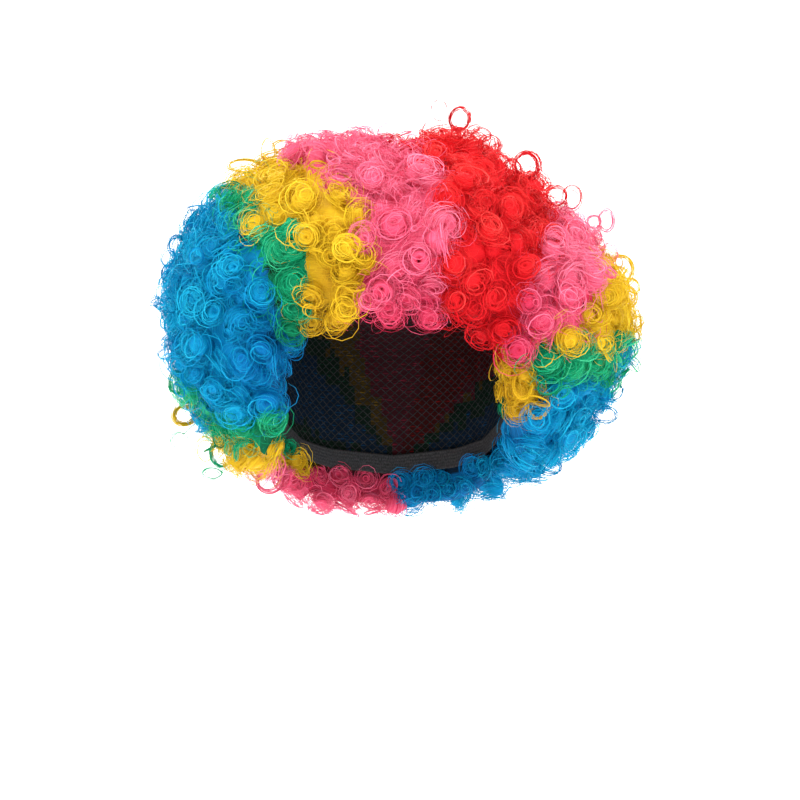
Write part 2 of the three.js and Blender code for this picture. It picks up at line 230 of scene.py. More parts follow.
# Ringlets that stand out in front, as seen by the camera: across, up, radius, and how hollow, from
# 0 to 1
FRONT_CURLS = np.array([
    (-23, -12, 7.8, 0.1), (-34, -19, 6.2, 1), (-14, -21, 5.6, 0.9), (-22, -36, 7.2, 0.5),
    (-34, -54, 6.8, 0.2), (-49, 10, 9.6, 0.1), (-60, 19, 8.8, 0), (-71, -2, 7.8, 0.2),
    (-61, -15, 7, 0.1), (-53, -34, 7.8, 0), (-49, -48, 7, 0.3), (-45, -9, 6.8, 0.3),
    (-49, 36, 9.4, 0.1), (-47, 47, 7.4, 0), (-21, 43, 9.4, 0.1), (-11, 19, 8.8, 0.1),
    (-29, 27, 7.8, 0.1), (0, -1, 9.4, 0.2), (13, 22, 9.4, 0), (27, 0, 9.4, 0.5),
    (-4, -33, 7.4, 0.6), (16, -20, 7.4, 0.8), (11, -37, 6.2, 0.8), (18, -51, 7.8, 0.1),
    (4, -47, 6.8, 0.4), (-12, -9, 7, 0.3), (36, 49, 8.4, 0), (75, 19, 8.8, 0), (48, -37, 7, 0.2),
    (53, -5, 7.2, 0.1), (85, -13, 6.8, 0.3), (74, -27, 6.8, 0.2), (43, 24, 8.8, 0),
    (59, 32, 8.4, 0), (34, -22, 8.2, 0), (62, 5, 8.4, 0), (59, -53, 7, 0.1), (109, -23, 9.4, 0.1),
    (96, -8, 7.8, 0.2), (82, -52, 8.8, 0.1), (94, -42, 8.4, 0.4), (73, -42, 6.8, 0.1),
    (119, -43, 8.4, 0.1), (109, -61, 6.8, 0.5), (123, -28, 7, 0.2), (101, -81, 8.8, 0.1),
    (86, -76, 8.2, 0.2), (109, -96, 8.2, 0.1), (90, -90, 5.8, 0.3), (92, -114, 8.4, 0.1),
    (77, -108, 7, 0.4), (-85, -50, 7.8, 0.1), (-73, -35, 7.2, 0.2), (-83, -23, 6.2, 0.5),
    (-101, -66, 8.4, 0.1), (-95, -98, 7.8, 0.1), (-71, -64, 7.2, 0.2), (-81, -78, 7.8, 0.1),
    (-103, -42, 8.4, 0.1), (-97, -14, 8.2, 0.1), (-86, -3, 7.8, 0.1), (-114, -53, 7.2, 0.1),
    (-111, -31, 7.2, 0.1), (-82, -110, 7.2, 0.3), (-117, -75, 6.6, 0.2),
])

# Gaps between the ringlets, as seen by the camera, where the underlayer is painted near black for the
# dark net and as painted shade deep in the gap: across, up, and radius
NET_AND_SHADE_GAPS = np.array([
    (-66, -25, 5), (-64, -44, 5), (-69, -66, 5), (-32, -29, 4), (62, -66, 5), (62, -80, 6),
    (105, -44, 4),
])

# Open rings that stand out of the hair, as seen by the camera: band, across, up, half width, half
# height, and number of strands
RINGS = [
    ("red", 26, 63, 4, 5.5, 2), ("red", 37, 58, 5.5, 6, 8),
    ("red", 25, 48, 4.5, 4.5, 3), ("red", 54, 43, 6.5, 6, 6),
    ("red", 74, 32, 6.5, 7, 12), ("red", 66, 29, 5, 6, 5), ("red", 90, 15, 6, 6, 5),
    ("red", 99, 14, 5, 6.5, 4), ("red", 2, 46, 3.5, 3, 5),
    ("red", -3, 47, 3, 2.5, 3), ("red", 13, 41, 5.5, 5.5, 4),
    ("red", 39, -49, 4, 5, 2), ("red", 46, -68, 5, 4, 4),
    ("pink_right", 118, 2, 4, 6, 5), ("pink_right", 111, 1, 4, 4, 4),
    ("pink_left", -2, 50, 6, 6, 2), ("pink_left", -67, -142, 7, 6, 5),
    ("yellow_left", -68, 40, 4, 7, 3), ("yellow_left", -60, 42, 6, 4, 3),
    ("yellow_left", -81, 32, 8, 3, 6), ("green_left", -89, 18, 6.5, 6, 4),
    ("green_left", -95, 8, 5, 5, 5), ("blue_left", -106, 9, 8, 1.5, 3),
    ("blue_left", -110, -5, 4, 5, 3), ("blue_left", -118, -12, 4.5, 5, 4),
    ("blue_left", -122, -27, 5, 5, 5), ("blue_left", -123, -41, 4, 4, 3),
    ("blue_left", -122, -56, 3.5, 5, 3), ("green_low", -118, -87, 4.5, 5.5, 7),
    ("yellow_low", -114, -105, 6.5, 6.5, 16), ("green_low", -117, -119, 5, 5, 2),
    ("yellow_low", -103, -124, 5, 7, 4), ("green_low", -93, -126, 6.5, 7.5, 11),
    ("green_low", -99, -137, 5, 3, 4), ("pink_nape", -68, -141, 7, 6, 7),
    ("pink_nape", -61, -139, 5, 7, 6), ("blue_left", -56, -67, 6, 5.5, 8),
    ("blue_right", 125, -76, 6, 2.5, 4), ("blue_right", 109, -112, 2.5, 6, 4),
    ("blue_right", 117, -105, 6, 4, 4), ("blue_right", 73, -136, 5.5, 5, 3),
    ("blue_right", 87, -134, 6, 4, 4), ("yellow_temple", 80, -98, 6, 9, 4),
    ("yellow_temple", 90, -110, 7, 5, 4), ("yellow_temple", 72, -88, 5, 8, 4),
    ("yellow_right", 126, -25, 6.5, 8, 7), ("yellow_right", 129, -40, 5, 6, 5),
]

# Colours that the fibre is painted in, from painted shade to painted light: dark, middle, light, and
# the average. In the deepest painted shade a share of the dark one is left, and streaks change the
# shade up and down.
COLOURS = {
    "blue": ((0.0, 0.15, 0.41), (0.0, 0.29, 0.52), (0.015, 0.5, 0.71), (0.003, 0.3, 0.52)),
    "green": ((0.0, 0.14, 0.06), (0.004, 0.39, 0.17), (0.1, 0.64, 0.32), (0.02, 0.38, 0.19)),
    "yellow": ((0.54, 0.3, 0.01), (0.71, 0.46, 0.014), (0.83, 0.6, 0.035), (0.7, 0.46, 0.02)),
    "pink": ((0.64, 0.035, 0.1), (0.82, 0.14, 0.25), (0.9, 0.3, 0.43), (0.81, 0.16, 0.27)),
    "red": ((0.6, 0.006, 0.012), (0.72, 0.012, 0.018), (0.86, 0.07, 0.06), (0.7, 0.016, 0.02)),
}
DEEPEST = 0.05
STREAKS = 0.24

# How much darker the open rings are painted than the hair round them: painted shade on the same fibre
RING_SHADES = {"blue": -0.6, "green": -0.45, "yellow": -0.12, "pink": -0.2, "red": -1.1}

# The part of a band's bake map that each kind of geometry fills: low u, low v, high u, high v
REGIONS = {
    "under": (0.005, 0.005, 0.995, 0.145),
    "cores": (0.0, 0.16, 1.0, 0.35),
    "strands": (0.0, 0.36, 1.0, 0.85),
    "fillers": (0.0, 0.86, 1.0, 0.93),
    "flyaways": (0.0, 0.94, 1.0, 0.97),
    "rings": (0.0, 0.975, 1.0, 1.0),
}


def unit(vectors):
    return vectors / np.maximum(np.linalg.norm(vectors, axis=-1, keepdims=True), 1e-9)


def smoothstep(value, low, high):
    share = np.clip((value - low) / (high - low), 0, 1)
    return share * share * (3 - 2 * share)


# The form's size in a direction round it: its depth there, half width and quarter arc over the crown
def section(azimuth):
    depth = np.where(np.cos(azimuth) > 0, HEAD_FRONT_DEPTH, HEAD_BACK_DEPTH)
    across = np.sin(azimuth) / (HEAD_BREADTH / 2)
    radius = 1 / np.hypot(across, np.cos(azimuth) / depth)
    return depth, radius, math.pi / 2 * np.sqrt((radius**2 + CROWN_HEIGHT**2) / 2)


# Points on the form at an arc's length from the crown, moved out along its normal
def wall_points(azimuth, arc, offset):
    depth, radius, crown_arc = section(azimuth)
    slope = math.pi / 2 * (1 - np.minimum(arc / crown_arc, 1))
    below = np.maximum(arc - crown_arc, 0)
    height = np.where(below > 0, -below, CROWN_HEIGHT * np.sin(slope))
    half = np.where(below > 0, NECK_DEPTH, CROWN_HEIGHT)
    out = radius * np.sqrt(np.maximum(1 - (height / half) ** 2, 0))
    points = np.stack([out * np.sin(azimuth), -out * np.cos(azimuth), height], -1)
    scale = np.stack([np.full_like(out, (HEAD_BREADTH / 2) ** 2), depth**2, half**2], -1)
    return points + unit(points / scale) * np.asarray(offset)[..., None] + CENTRE


def arc_at_drop(azimuth, drop):
    crown_arc = section(azimuth)[2]
    height = CROWN_HEIGHT - drop
    over = 1 - np.arcsin(np.clip(height / CROWN_HEIGHT, 0, 1)) / (math.pi / 2)
    return np.where(height < 0, crown_arc - height, crown_arc * over)


def cap_edge(azimuth):
    from_front = np.abs(np.degrees(azimuth))
    return arc_at_drop(azimuth, CAP_DROP * np.interp(from_front, EDGES[:, 0], EDGES[:, 1]))


def hair_edge(azimuth):
    from_front = np.abs(np.degrees(azimuth))
    left = np.interp(from_front, EDGES[:, 0], EDGES[:, 2])
    right = np.interp(from_front, EDGES[:, 0], EDGES[:, 3])
    arc = arc_at_drop(azimuth, HAIR_DROP * np.where(azimuth < 0, left, right))
    return np.maximum(arc, cap_edge(azimuth) + 2 * GAP)


# How far the hair reaches from the middle of the form in some directions
def hair_reach(direction):
    angle = np.degrees(np.arctan2(direction[..., 2], direction[..., 0]))
    angle = np.where(angle < -90, angle + 360, angle)
    side = HAIR_REACH * np.interp(angle, OUTLINE[:, 0], OUTLINE[:, 1])
    depth = np.where(direction[..., 1] < 0, HAIR_FRONT_REACH, HAIR_BACK_REACH)
    flat = np.hypot(direction[..., 0], direction[..., 2])
    lobes = np.sin(direction @ LOBE_WAVES.T + 1.0).prod(-1)
    return 1 / np.hypot(flat / side, direction[..., 1] / depth) + LOBE_HEIGHT * lobes


edge_azimuth = np.linspace(-math.pi, math.pi, 121)[:-1]
EDGE_POINTS = wall_points(edge_azimuth, hair_edge(edge_azimuth), 0.0)


# The underlayer's outer points over places on the form
def under_points(azimuth, arc):
    foot = wall_points(azimuth, arc, CAP_WALL + GAP)
    inset = np.linalg.norm(foot[..., None, :] - EDGE_POINTS, axis=-1).min(-1)
    outward = foot - CENTRE
    outward[..., 2] *= np.where(outward[..., 2] < 0, 1 - LEVELLING, 1)
    outward = unit(outward)
    near, far = np.zeros(inset.shape), np.full(inset.shape, float(HAIR_BACK_REACH))
    for _ in range(14):
        middle = (near + far) / 2
        ray = foot + outward * middle[..., None] - CENTRE
        inside = np.linalg.norm(ray, axis=-1) < hair_reach(unit(ray))
        near, far = np.where(inside, middle, near), np.where(inside, far, middle)
    rise = 1 - np.minimum(inset / SWELL, 1)
    thickness = np.maximum((near - UNDER_DEPTH) * np.sqrt(1 - rise**2), ROOT_WALL)
    return foot + outward * thickness[..., None]


# The band of some points: by their angle round the fan, or the temple's own
def band_of(points, jitter=0.0):
    across, up = points[:, 0] - FAN_ACROSS, points[:, 2] + FAN_DROP
    distance = np.hypot(across, up)
    angle = np.degrees(np.arctan2(up, across)) + jitter
    angle = np.where(angle < -90, angle + 360, angle)
    band = np.full(len(points), TEMPLE - 1)
    for index in range(TEMPLE - 1, -1, -1):
        end = np.interp(distance, FAN_RADII, BANDS[index][2])
        band = np.where(angle >= end, index, band)
    temple = (points[:, 1] < TEMPLE_FRONT) & (distance < TEMPLE_WIDTH)
    temple &= (angle > TEMPLE_FOOT) & (angle < TEMPLE_TOP)
    return np.where(temple, TEMPLE, band)


# Where the camera sees some points, as places across and up in the plane through the origin
def as_seen(points):
    scale = -CAMERA[1] / (points[:, 1] - CAMERA[1])
    return CAMERA[[0, 2]] + (points[:, [0, 2]] - CAMERA[[0, 2]]) * scale[:, None]


# The point at a depth that the camera sees at a place across and up
def behind(across, up, depth):
    scale = (depth - CAMERA[1]) / -CAMERA[1]
    return np.array(
        [CAMERA[0] + (across - CAMERA[0]) * scale, depth, CAMERA[2] + (up - CAMERA[2]) * scale]
    )


# A mesh object from points, faces of one size each, their corners' places on its own bake map and on
# the map that its fibres follow, and a shade for each point.
def make_mesh(name, parts, material):
    points, shades, corners, starts, bake, fibre = [], [], [], [], [], []
    point_count = corner_count = 0
    for part in parts:
        points.append(part["points"].reshape(-1, 3))
        shades.append(part["shade"].ravel())
        for faces, bake_uv, fibre_uv in part["faces"]:
            corners.append((faces + point_count).ravel())
            starts.append(corner_count + np.arange(len(faces)) * faces.shape[1])
            bake.append(bake_uv.reshape(-1, 2))
            fibre.append(fibre_uv.reshape(-1, 2))
            corner_count += faces.size
        point_count += len(points[-1])
    mesh = bpy.data.meshes.new(name)
    mesh.vertices.add(point_count)
    mesh.vertices.foreach_set("co", (np.concatenate(points) * MM).astype(np.float32).ravel())
    mesh.loops.add(corner_count)
    mesh.loops.foreach_set("vertex_index", np.concatenate(corners).astype(np.int32))
    loop_start = np.concatenate(starts).astype(np.int32)
    mesh.polygons.add(len(loop_start))
    mesh.polygons.foreach_set("loop_start", loop_start)
    mesh.polygons.foreach_set("use_smooth", np.ones(len(loop_start), bool))
    mesh.update(calc_edges=True)
    for layer, uv in (("OFBake", bake), ("Fibre", fibre)):
        mesh.uv_layers.new(name=layer)
        mesh.uv_layers[layer].uv.foreach_set("vector", np.concatenate(uv).astype(np.float32).ravel())
    mesh.uv_layers["OFBake"].active_render = True
    shade = mesh.attributes.new("Shade", "FLOAT", "POINT")
    shade.data.foreach_set("value", np.concatenate(shades).astype(np.float32))
    mesh.validate()
    mesh.materials.append(material)
    obj = bpy.data.objects.new(name, mesh)
    bpy.context.scene.collection.objects.link(obj)
    return obj


# A grid of faces between rows and columns of points, the columns closing on themselves, and the places
# of its corners on a map
def wrapped_grid(rows, columns):
    row, column = np.meshgrid(np.arange(rows - 1), np.arange(columns), indexing="ij")
    beside = (column + 1) % columns
    quads = np.stack(
        [
            row * columns + column,
            (row + 1) * columns + column,
            (row + 1) * columns + beside,
            row * columns + beside,
        ],
        -1,
    )
    corner_u = np.stack([column, column, column + 1, column + 1], -1) / columns
    corner_v = np.stack([row, row + 1, row + 1, row], -1) / (rows - 1)
    return quads.reshape(-1, 4), np.stack([corner_u, corner_v], -1).reshape(-1, 4, 2)


def in_region(uv, region):
    low_u, low_v, high_u, high_v = region
    return np.array([low_u, low_v]) + uv * np.array([high_u - low_u, high_v - low_v])


# Flat strands along many paths at once. Paths and the direction across them are (strand, step, 3).
# Each strand has its own cell in its region of the bake map.
def ribbons(paths, across, width, shade, region):
    count, steps = paths.shape[:2]
    half = np.broadcast_to(width, (count, steps))[..., None] * across / 2
    points = np.stack([paths - half, paths + half], 2)
    strand, step = np.meshgrid(np.arange(count), np.arange(steps - 1), indexing="ij")
    first = (strand * steps + step) * 2
    quads = np.stack([first, first + 2, first + 3, first + 1], -1).reshape(-1, 4)
    columns = max(1, round(math.sqrt(count / 40)))
    rows = math.ceil(count / columns)
    corner_u = np.stack([step, step + 1, step + 1, step], -1) / (steps - 1)
    corner_v = np.broadcast_to(np.array([0.0, 0.0, 1.0, 1.0]), corner_u.shape)
    cell_u = (strand[..., None] % columns + 0.01 + 0.98 * corner_u) / columns
    cell_v = (strand[..., None] // columns + 0.1 + 0.8 * corner_v) / rows
    bake = in_region(np.stack([cell_u, cell_v], -1).reshape(-1, 4, 2), region)
    fibre = np.stack([corner_u + strand[..., None] * 3.7, corner_v * 0.1], -1).reshape(-1, 4, 2)
    shades = np.repeat(np.broadcast_to(shade, (count, steps))[..., None], 2, -1)
    return {"points": points, "shade": shades, "faces": [(quads, bake, fibre)]}


# The underlayer's grid: outside from the crown to the edge, round the edge, and up inside to the crown.
def underlayer():
    azimuth = (np.arange(UNDER_COLUMNS) / UNDER_COLUMNS * 2 - 1) * math.pi
    edge = hair_edge(azimuth)
    outside = [under_points(azimuth, edge * row / UNDER_ROWS) for row in range(UNDER_ROWS + 1)]
    inner_edge = wall_points(azimuth, edge, CAP_WALL + GAP)
    round_edge = []
    for row in range(1, RIM_ROWS):
        share = row / RIM_ROWS
        bulge = math.sin(math.pi * share) * RIM_BULGE
        point = outside[-1] * (1 - share) + inner_edge * share
        round_edge.append(point - np.array([0, 0, 1]) * bulge)
    top = cap_edge(azimuth)
    inside = [
        wall_points(azimuth, edge + (top - edge) * row / INSIDE_ROWS, CAP_WALL + GAP)
        for row in range(INSIDE_ROWS)
    ]
    behind_net = [
        wall_points(azimuth, top * (1 - row / NET_ROWS), CAP_WALL + GAP)
        for row in range(NET_ROWS + 1)
    ]
    return np.array(outside + round_edge + inside + behind_net)


grid = underlayer()
GRID_ROWS = len(grid)
row_step = np.roll(grid, -1, axis=1) - np.roll(grid, 1, axis=1)
column_step = np.gradient(grid, axis=0)
normals = unit(np.cross(column_step, row_step))
outwards = unit(grid - CENTRE)
normals[0] = (0, 0, 1)
normals[-1] = (0, 0, -1)
for _ in range(3):
    smooth = (normals + np.roll(normals, 1, 1) + np.roll(normals, -1, 1)) / 3
    smooth[1:-1] = (smooth[1:-1] + smooth[2:] + smooth[:-2]) / 3
    normals = unit(smooth)

# Places on the underlayer, as many to each patch as its area gives. None is behind the net.
cells = np.stack(np.meshgrid(np.arange(GRID_ROWS - 1), np.arange(UNDER_COLUMNS), indexing="ij"), -1)
cells = cells.reshape(-1, 2)
next_column = (cells[:, 1] + 1) % UNDER_COLUMNS
side_a = grid[cells[:, 0] + 1, cells[:, 1]] - grid[cells[:, 0], cells[:, 1]]
side_b = grid[cells[:, 0], next_column] - grid[cells[:, 0], cells[:, 1]]
side_c = grid[cells[:, 0] + 1, next_column] - grid[cells[:, 0], cells[:, 1]]
area = np.linalg.norm(np.cross(side_a, side_c), axis=1)
area += np.linalg.norm(np.cross(side_b, side_c), axis=1)
RIM_START = UNDER_ROWS - 1
INSIDE_START = UNDER_ROWS + RIM_ROWS - 1
NET_START = INSIDE_START + INSIDE_ROWS
area[cells[:, 0] >= NET_START - 1] = 0
pick = rng.choice(len(cells), CANDIDATES, p=area / area.sum())
place_u, place_v = rng.random((2, CANDIDATES, 1))
picked_row, picked_column = cells[pick].T
beside = (picked_column + 1) % UNDER_COLUMNS


def blended(field):
    upper = field[picked_row, picked_column] * (1 - place_u) + field[picked_row, beside] * place_u
    below = field[picked_row + 1, picked_column] * (1 - place_u)
    lower = below + field[picked_row + 1, beside] * place_u
    return upper * (1 - place_v) + lower * place_v


candidate = blended(grid)
candidate_normal = unit(blended(normals))
candidate_seen = as_seen(candidate)
faces_camera = (candidate_normal[:, 1] < FACING_FRONT) & (picked_row < INSIDE_START)


# How much each point of the hair in front lies in a gap painted near black, for the dark net and as
# painted shade, from 0 to 1
def net_and_shade_gap(seen, in_front):
    away = np.linalg.norm(seen[:, None] - NET_AND_SHADE_GAPS[:, :2], axis=-1)
    return np.exp(-((away / NET_AND_SHADE_GAPS[:, 2]) ** 2)).max(1) * in_front


# The candidate that the camera sees nearest to each of some places across and up
def seen_at(places, allowed):
    numbers = np.flatnonzero(allowed)
    away = ((candidate_seen[numbers] - places[:, None]) ** 2).sum(-1)
    return numbers[away.argmin(1)]


# The ringlets that stand out in front and those that end the fringe come first, and the others are
# spread between them, closer together along the rim and inside. The gaps painted near black stay bare.
fringe_across = np.arange(FRINGE[0, 0], FRINGE[-1, 0], FRINGE_SPACING)
fringe_radius = rng.uniform(*FRINGE_RADII, len(fringe_across))
fringe_up = np.interp(fringe_across, FRINGE[:, 0], FRINGE[:, 1]) + fringe_radius
fringe_curls = np.stack(
    [fringe_across, fringe_up, fringe_radius, rng.uniform(0, 0.5, len(fringe_across))], -1
)
front_curls = np.concatenate([FRONT_CURLS, fringe_curls])
front_places = seen_at(front_curls[:, :2], faces_camera)
kept, kept_front = [], []
kept_points = np.empty((0, 3))
for front, number in enumerate(front_places):
    near = ((kept_points - candidate[number]) ** 2).sum(1).min() if kept else math.inf
    if near > FRONT_SPACING**2:
        kept.append(number)
        kept_front.append(front)
        kept_points = np.vstack([kept_points, candidate[number]])
from_front = np.abs(np.degrees(np.arctan2(candidate[:, 0], -candidate[:, 1])))
left_bare = (from_front < FRINGE_ANGLE) & (picked_row >= RIM_START - 1)
left_bare |= net_and_shade_gap(candidate_seen, faces_camera) > GAP_LEAST
spacings = np.where(picked_row >= RIM_START, RIM_SPACING, CURL_SPACING)
spacings = np.where(picked_row >= INSIDE_START, INSIDE_SPACING, spacings)
for number, point in enumerate(candidate):
    apart = np.linalg.norm(kept_points - point, axis=1)
    apart[: len(kept_front)] += CURL_SPACING - BESIDE_FRONT
    if not left_bare[number] and apart.min() >= spacings[number]:
        kept.append(number)
        kept_points = np.vstack([kept_points, point])
places = kept_points
place_normals = candidate_normal[kept]
place_inside = picked_row[kept] >= INSIDE_START
count = len(places)
fronts = len(kept_front)
place_band = band_of(places + place_normals * BAND_LIFT, rng.normal(0, 1.3, count))

# Each ringlet's own size, lean and hand
leaning = unit(rng.normal(size=(count, 3)))
lean = rng.uniform(*LEANS, count) + np.where(rng.random(count) < LYING_SHARE, LYING_LEAN, 0)
lean *= np.where(place_inside, 0.3, 1)
axes = unit(place_normals + leaning * lean[:, None])
curl_radius = rng.uniform(*CURL_RADII, count) * np.where(place_inside, 0.7, 1)
curl_height = rng.uniform(*CURL_HEIGHTS, count) * np.where(place_inside, 0.5, 1)
hand = rng.choice([-1, 1], count)
hollow = np.clip(rng.normal(0.15, 0.4, count), 0, 1)
squash = rng.uniform(0.78, 1.0, count)
sink = rng.uniform(-1.5, 2.5, count) + np.where(place_inside, 1, 0)
tone = rng.normal(0, 0.07, count)
towards_camera = np.array([0, -1, 0])
axes[:fronts] = unit(
    0.4 * place_normals[:fronts] + 0.6 * towards_camera + rng.normal(0, 0.22, (fronts, 3))
)
curl_radius[:fronts] = front_curls[kept_front, 2]
hollow[:fronts] = front_curls[kept_front, 3]
curl_height[:fronts] = rng.uniform(*FRONT_HEIGHTS, fronts)
sink[:fronts] = rng.uniform(-2.0, 0.5, fronts)
# Painted light: the ringlets that stand out in front are drawn a little lighter
tone[:fronts] += 0.02
cross_a = unit(np.cross(axes, unit(rng.normal(size=(count, 3)))))
cross_b = np.cross(axes, cross_a)

# Places and bands for the loose strands, the flyaways and the springs
spare = rng.permutation(CANDIDATES)
filler_pick = spare[:FILLERS]
filler_point, filler_normal = candidate[filler_pick], candidate_normal[filler_pick]
filler_inside = picked_row[filler_pick] >= INSIDE_START
filler_band = band_of(filler_point, rng.normal(0, 2.2, FILLERS))
outer = spare[FILLERS:][picked_row[spare[FILLERS:]] < UNDER_ROWS]
flyaway_pick = outer[:FLYAWAYS]
flyaway_rise = UNDER_DEPTH + rng.uniform(*FLYAWAY_RISE, (FLYAWAYS, 1))
flyaway_point = candidate[flyaway_pick] + candidate_normal[flyaway_pick] * flyaway_rise
flyaway_band = band_of(flyaway_point, rng.normal(0, 2.6, FLYAWAYS))


# Points on ringlets' cores, by the share from foot to end and the angle round, moved out and along.
# Each row is on the ringlet of that number. Gives the points and the directions out and along.
def on_core(which, share, angle, out_shift, along_shift):
    closed_radius, closed_height, open_radius, open_height = (
        np.interp(share, CORE[:, 0], CORE[:, column]) for column in range(1, 5)
    )
    opened = hollow[which][:, None]
    radius = closed_radius + (open_radius - closed_radius) * opened
    height = closed_height + (open_height - closed_height) * opened
    out_a = np.cos(angle)[..., None] * cross_a[which][:, None, :]
    out_b = np.sin(angle)[..., None] * cross_b[which][:, None, :] * squash[which][:, None, None]
    out = out_a + out_b
    along = np.broadcast_to(axes[which][:, None, :], out.shape)
    rise = height * curl_height[which][:, None] - sink[which][:, None] + along_shift
    reach = np.maximum(radius * curl_radius[which][:, None] + out_shift, 0.1)
    foot = places[which][:, None, :]
    return foot + out * reach[..., None] + along * rise[..., None], out, along


# Painted shade: how light points are drawn, darker deep in the hair and lighter outside
def depth_shade(points):
    ray = points - CENTRE
    depth = hair_reach(unit(ray)) - np.linalg.norm(ray, axis=-1)
    return SHADE_OUTSIDE - np.clip(depth / SHADE_DEPTH, *SHADE_LOSS)


# The closed cores of some ringlets, which the strands are wound round
def cores_of(which):
    size = len(which)
    share = CORE[:, 0]
    angle = np.arange(CORE_SIDES) / CORE_SIDES * TURN
    row_share, row_angle = np.meshgrid(share, angle, indexing="ij")
    shape = (size, len(CORE) * CORE_SIDES)
    flat_share = np.broadcast_to(row_share.ravel(), shape)
    flat_angle = np.broadcast_to(row_angle.ravel(), shape)
    points, _, _ = on_core(which, flat_share, flat_angle, -CORE_INSET, -CORE_INSET)
    quads, grid_uv = wrapped_grid(len(CORE), CORE_SIDES)
    core = np.arange(size)[:, None, None]
    columns = max(1, round(math.sqrt(size)))
    rows = math.ceil(size / columns)
    core_columns, core_rows = core[..., None] % columns, core[..., None] // columns
    cell_u = (core_columns + 0.02 + 0.96 * grid_uv[None, ..., :1]) / columns
    cell_v = (core_rows + 0.02 + 0.96 * grid_uv[None, ..., 1:]) / rows
    bake = in_region(np.concatenate([cell_u, cell_v], -1), REGIONS["cores"])
    fibre = grid_uv[None] + np.concatenate([core[..., None] * 7.3, core[..., None] * 0.0], -1)
    faces = (quads[None] + core * len(CORE) * CORE_SIDES).reshape(-1, 4)
    # Painted shade by depth, and the cores drawn darker as shade under their strands, with each
    # ringlet's random tone
    shade = depth_shade(points) + tone[which][:, None] + CORE_SHADE
    return {
        "points": points,
        "shade": shade,
        "faces": [(faces, bake.reshape(-1, 4, 2), fibre.reshape(-1, 4, 2))],
    }


# The strands wound round some ringlets, each about its own middle and tilt, a few of them standing off
def strands_of(which):
    which = np.repeat(which, STRANDS)
    size = len(which)
    kind = rng.random((size, 1))
    end_share = rng.uniform(0.55, 0.97, (size, 1))
    side_share = rng.uniform(0.12, 0.66, (size, 1))
    middle = np.where(kind < END_SHARE, end_share - 0.2 * hollow[which][:, None], side_share)
    step = np.linspace(0, 1, STRAND_STEPS)
    share = np.clip(middle + rng.normal(0, 0.13, (size, 1)) * (step - 0.5), 0.02, 0.99)
    turns = rng.uniform(0.75, 1.45, (size, 1))
    angle = rng.uniform(0, TURN, (size, 1)) + hand[which][:, None] * TURN * turns * step
    wave = rng.uniform(0, TURN, (size, 1)) + step * rng.uniform(4, 11, (size, 1))
    off = rng.normal(-0.1, 0.65, (size, 1)) + 0.25 * np.sin(wave)
    stands_off = rng.random((size, 1)) < LOOSE_SHARE
    loose = np.where(stands_off, rng.uniform(*LOOSE_REACH, (size, 1)), 0)
    off = off + loose * np.sin(math.pi * step) ** 0.7
    tilt = rng.normal(0, 0.22, (size, 1)) * np.sin(angle + rng.uniform(0, TURN, (size, 1)))
    size_of = curl_radius[which][:, None]
    shift = rng.normal(0.1, 0.55, (size, 1)) + 0.25 * np.cos(wave) + tilt * size_of + 0.3 * loose
    paths, out, along = on_core(which, share, angle, off, shift)
    aside = rng.normal(0, 0.19, (2, size, 1)) * size_of * np.where(kind < END_SHARE, 1, 0.5)
    paths = paths + (aside[0] * cross_a[which] + aside[1] * cross_b[which])[:, None]
    lying = math.pi / 2 * (1 - smoothstep(share, 0.5, 0.85)) + rng.normal(0, 0.5, (size, 1))
    lying = lying + rng.normal(0, 0.8, (size, 1)) * (step - 0.5)
    across = unit(out * np.cos(lying)[..., None] + along * np.sin(lying)[..., None])
    # Painted shade by depth, with random tone for each ringlet and strand
    shade = depth_shade(paths) + tone[which][:, None] + rng.normal(0.03, 0.15, (size, 1))
    taper = np.sqrt(np.sin(math.pi * (0.03 + 0.94 * step)))
    width = STRAND_WIDTH * rng.uniform(0.55, 1.35, (size, 1)) * taper
    return ribbons(paths, across, width, shade, REGIONS["strands"])


# Loose curly strands: arcs of circles about centres, in planes across given directions
def arcs(centres, facing, radius, turns, steps, width, shade_shift, region):
    size = len(centres)
    step = np.linspace(0, 1, steps)
    plane_a = unit(np.cross(facing, unit(rng.normal(size=(size, 3)))))
    plane_b = np.cross(facing, plane_a)
    angle = rng.uniform(0, TURN, (size, 1)) + rng.choice([-1, 1], (size, 1)) * TURN * turns * step
    opening = radius * (1 + rng.uniform(-0.35, 0.35, (size, 1)) * (step - 0.5))
    out = np.cos(angle)[..., None] * plane_a[:, None] + np.sin(angle)[..., None] * plane_b[:, None]
    drift = rng.normal(0, 0.35, (size, 1)) * radius * (step - 0.5)
    paths = centres[:, None] + out * opening[..., None] + facing[:, None] * drift[..., None]
    turn = rng.uniform(0, TURN, (size, 1, 1))
    across = unit(out * np.cos(turn) + facing[:, None] * np.sin(turn))
    # Painted shade by depth, shifted for each strand
    shade = depth_shade(paths) + shade_shift
    taper = np.sqrt(np.sin(math.pi * (0.04 + 0.92 * step)))
    return ribbons(paths, across, width * taper, shade, region)


# Loose strands that fill the band between its ringlets
def fillers_of(index):
    mine = np.flatnonzero(filler_band == index)
    size = len(mine)
    shallow = np.where(filler_inside[mine][:, None], 0.2, 1)
    facing = unit(filler_normal[mine] + 0.9 * unit(rng.normal(size=(size, 3))))
    rise = rng.uniform(*FILLER_RISE, (size, 1)) * shallow
    centres = filler_point[mine] + filler_normal[mine] * rise
    radius = rng.uniform(*FILLER_RADII, (size, 1)) * np.where(shallow < 1, 0.8, 1)
    turns = rng.uniform(0.5, 1.0, (size, 1))
    width = STRAND_WIDTH * rng.uniform(0.55, 1.2, (size, 1))
    shade_shift = rng.normal(0.0, 0.11, (size, 1))
    region = REGIONS["fillers"]
    return arcs(centres, facing, radius, turns, FILLER_STEPS, width, shade_shift, region)


